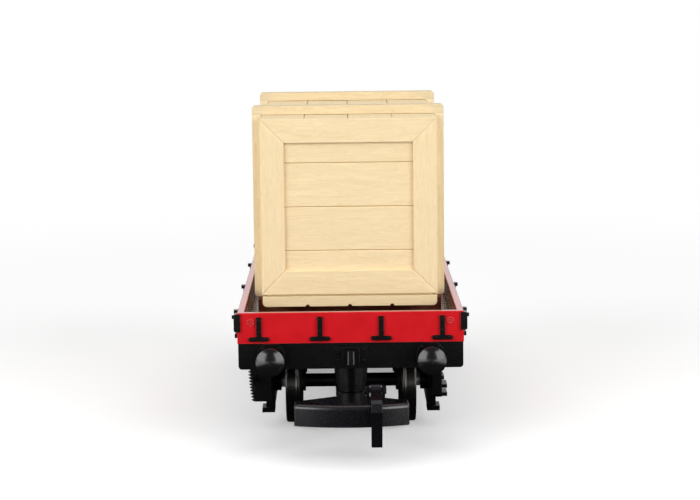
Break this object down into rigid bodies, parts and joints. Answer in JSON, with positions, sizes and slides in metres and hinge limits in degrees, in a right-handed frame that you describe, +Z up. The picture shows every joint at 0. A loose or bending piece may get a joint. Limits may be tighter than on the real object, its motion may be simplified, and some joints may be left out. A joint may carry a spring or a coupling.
{
  "type": "model railway goods wagon",
  "caption": "Low-sided open model goods wagon on flanged wheels, with tension-lock couplings and a lift-out planked packing case.",
  "frame": {"origin": "middle of the wagon at the level of the lowest points of the wheel flanges", "axes": "+Z up, Y along the wagon with the front end at -Y, X across it"},
  "size_m": [0.0336, 0.1006, 0.048],
  "materials": {
    "body_red": "glossy red",
    "deck_brown": "glossy dark brown",
    "chassis_black": "satin black",
    "gloss_black": "polished black",
    "coupling_black": "semi-gloss black",
    "wheel_black": "blackened metal",
    "bright_steel": "turned",
    "ballast_steel": "rolled plate",
    "cup_brass": "turned",
    "bush_plastic": "plain",
    "case_cream": "wood-grained cream",
    "case_tan": "wood-grained tan",
    "bearer_brown": "dark timber brown"
  },
  "bodies": {
    "wagon": {"body_shell": "body_red", "floor_deck": "deck_brown", "side_straps_left": "chassis_black", "side_straps_right": "chassis_black", "corner_plates": "chassis_black", "underframe": "chassis_black", "ballast_weight": "ballast_steel", "chassis_screws": "bright_steel", "axlebox_spring_front_left": "chassis_black", "axlebox_spring_front_right": "chassis_black", "axlebox_spring_rear_left": "chassis_black", "axlebox_spring_rear_right": "chassis_black", "axle_bearings": "cup_brass", "brake_gear_left": "chassis_black", "brake_gear_right": "chassis_black", "brake_cross_shaft": "bright_steel", "brake_lever_left": "chassis_black", "brake_lever_right": "chassis_black", "end_straps_front": "chassis_black", "end_straps_rear": "chassis_black", "buffer_stocks_front": "chassis_black", "buffer_stocks_rear": "chassis_black", "buffer_heads_front": "gloss_black", "buffer_heads_rear": "gloss_black", "drawhook_plate_front": "chassis_black", "drawhook_plate_rear": "chassis_black", "drawhook_front": "gloss_black", "drawhook_rear": "gloss_black", "coupling_screw_front": "bright_steel", "coupling_screw_rear": "bright_steel"},
    "load": {"case_shell": "case_cream", "case_base": "case_tan", "case_bearers": "bearer_brown", "case_end_frame_front": "case_cream", "case_end_frame_rear": "case_cream", "case_band_front": "case_cream", "case_band_rear": "case_cream"},
    "wheelset_front": {"axle_front": "bright_steel", "wheel_front_left": "wheel_black", "wheel_front_right": "wheel_black", "wheel_bushes_front": "bush_plastic"},
    "coupling_front": {"coupling_bar_front": "coupling_black", "hook_rivet_front": "bright_steel"},
    "hook_front": {"coupling_hook_front": "coupling_black"},
    "wheelset_rear": {"axle_rear": "bright_steel", "wheel_rear_left": "wheel_black", "wheel_rear_right": "wheel_black", "wheel_bushes_rear": "bush_plastic"},
    "coupling_rear": {"coupling_bar_rear": "coupling_black", "hook_rivet_rear": "bright_steel"},
    "hook_rear": {"coupling_hook_rear": "coupling_black"}
  },
  "joints": [
    {"name": "wheelset_front_spin", "type": "hinge", "parent": "wagon", "child": "wheelset_front", "pos_m": [0, -0.02, 0.007], "axis": [1, 0, 0], "continuous": true},
    {"name": "coupling_front_swivel", "type": "hinge", "parent": "wagon", "child": "coupling_front", "pos_m": [0, -0.032, 0.0076], "axis": [0, 0, 1], "range_deg": [-10, 10]},
    {"name": "hook_front_lift", "type": "hinge", "parent": "coupling_front", "child": "hook_front", "pos_m": [0.0034, -0.0408, 0.00975], "axis": [-1, 0, 0], "range_deg": [0, 25]},
    {"name": "wheelset_rear_spin", "type": "hinge", "parent": "wagon", "child": "wheelset_rear", "pos_m": [0, 0.02, 0.007], "axis": [1, 0, 0], "continuous": true},
    {"name": "coupling_rear_swivel", "type": "hinge", "parent": "wagon", "child": "coupling_rear", "pos_m": [0, 0.032, 0.0076], "axis": [0, 0, 1], "range_deg": [-10, 10]},
    {"name": "hook_rear_lift", "type": "hinge", "parent": "coupling_rear", "child": "hook_rear", "pos_m": [-0.0034, 0.0408, 0.00975], "axis": [1, 0, 0], "range_deg": [0, 25]},
    {"name": "load_lift", "type": "slide", "parent": "wagon", "child": "load", "axis": [0, 0, 1], "range_m": [0, 0.035]}
  ]
}
